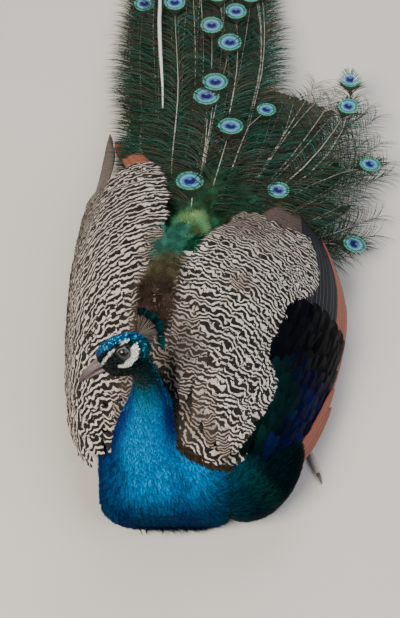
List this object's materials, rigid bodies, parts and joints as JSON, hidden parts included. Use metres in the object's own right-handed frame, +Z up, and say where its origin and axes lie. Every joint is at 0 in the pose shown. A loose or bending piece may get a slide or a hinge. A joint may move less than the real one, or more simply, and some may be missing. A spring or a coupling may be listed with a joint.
{
  "type": "resting peacock model",
  "caption": "Life-size still model of a resting peacock: neck drawn back, head turned aside, wings drooped and train laid out behind on the floor.",
  "frame": {"origin": "on the floor under the belly, on the flat that the bird rests on", "axes": "+Z up, -Y the way the breast faces, +X to the bird's own left; the train runs towards +Y"},
  "size_m": [0.451, 1.6836, 0.2719],
  "materials": {
    "body_plumage": "blue and green feathers with a silky sheen",
    "crest": "fan of bare shafts with blue-green tips",
    "wing_coverts": "cream and dark brown barred feathers, matte",
    "flight_feathers": "rufous and dark flight feathers, satin",
    "train_feathers": "bronze-green loose barbs with eye spots, iridescent",
    "tail_feathers": "stiff grey-brown feathers, matte",
    "bill": "satin horn",
    "claw": "satin horn",
    "leg_skin": "scaly skin, satin",
    "eye": "wet gloss"
  },
  "bodies": {
    "root": {"bill_lower": "bill", "bill_upper": "bill", "breast": "body_plumage", "claw_hind_left": "claw", "claw_hind_right": "claw", "claw_inner_left": "claw", "claw_inner_right": "claw", "claw_middle_left": "claw", "claw_middle_right": "claw", "claw_outer_left": "claw", "claw_outer_right": "claw", "crest": "crest", "eye_left": "eye", "eye_right": "eye", "head": "body_plumage", "neck_lower": "body_plumage", "neck_upper": "body_plumage", "rump": "body_plumage", "tail": "tail_feathers", "tarsus_left": "leg_skin", "tarsus_right": "leg_skin", "thigh_left": "body_plumage", "thigh_right": "body_plumage", "toe_hind_left": "leg_skin", "toe_hind_right": "leg_skin", "toe_inner_left": "leg_skin", "toe_inner_right": "leg_skin", "toe_middle_left": "leg_skin", "toe_middle_right": "leg_skin", "toe_outer_left": "leg_skin", "toe_outer_right": "leg_skin", "train_half_left": "train_feathers", "train_half_middle": "train_feathers", "train_half_right": "train_feathers", "train_long_left": "train_feathers", "train_long_middle": "train_feathers", "train_long_right": "train_feathers", "train_scales_left": "train_feathers", "train_scales_middle": "train_feathers", "train_scales_right": "train_feathers", "train_short_left": "train_feathers", "train_short_middle": "train_feathers", "train_short_right": "train_feathers", "trunk": "body_plumage", "wing_left_alula": "wing_coverts", "wing_left_coverts": "wing_coverts", "wing_left_outer_coverts": "wing_coverts", "wing_left_primaries": "flight_feathers", "wing_left_scapulars": "wing_coverts", "wing_left_secondaries": "flight_feathers", "wing_left_shoulder": "wing_coverts", "wing_right_alula": "wing_coverts", "wing_right_coverts": "wing_coverts", "wing_right_outer_coverts": "wing_coverts", "wing_right_primaries": "flight_feathers", "wing_right_scapulars": "wing_coverts", "wing_right_secondaries": "flight_feathers", "wing_right_shoulder": "wing_coverts"}
  },
  "joints": []
}
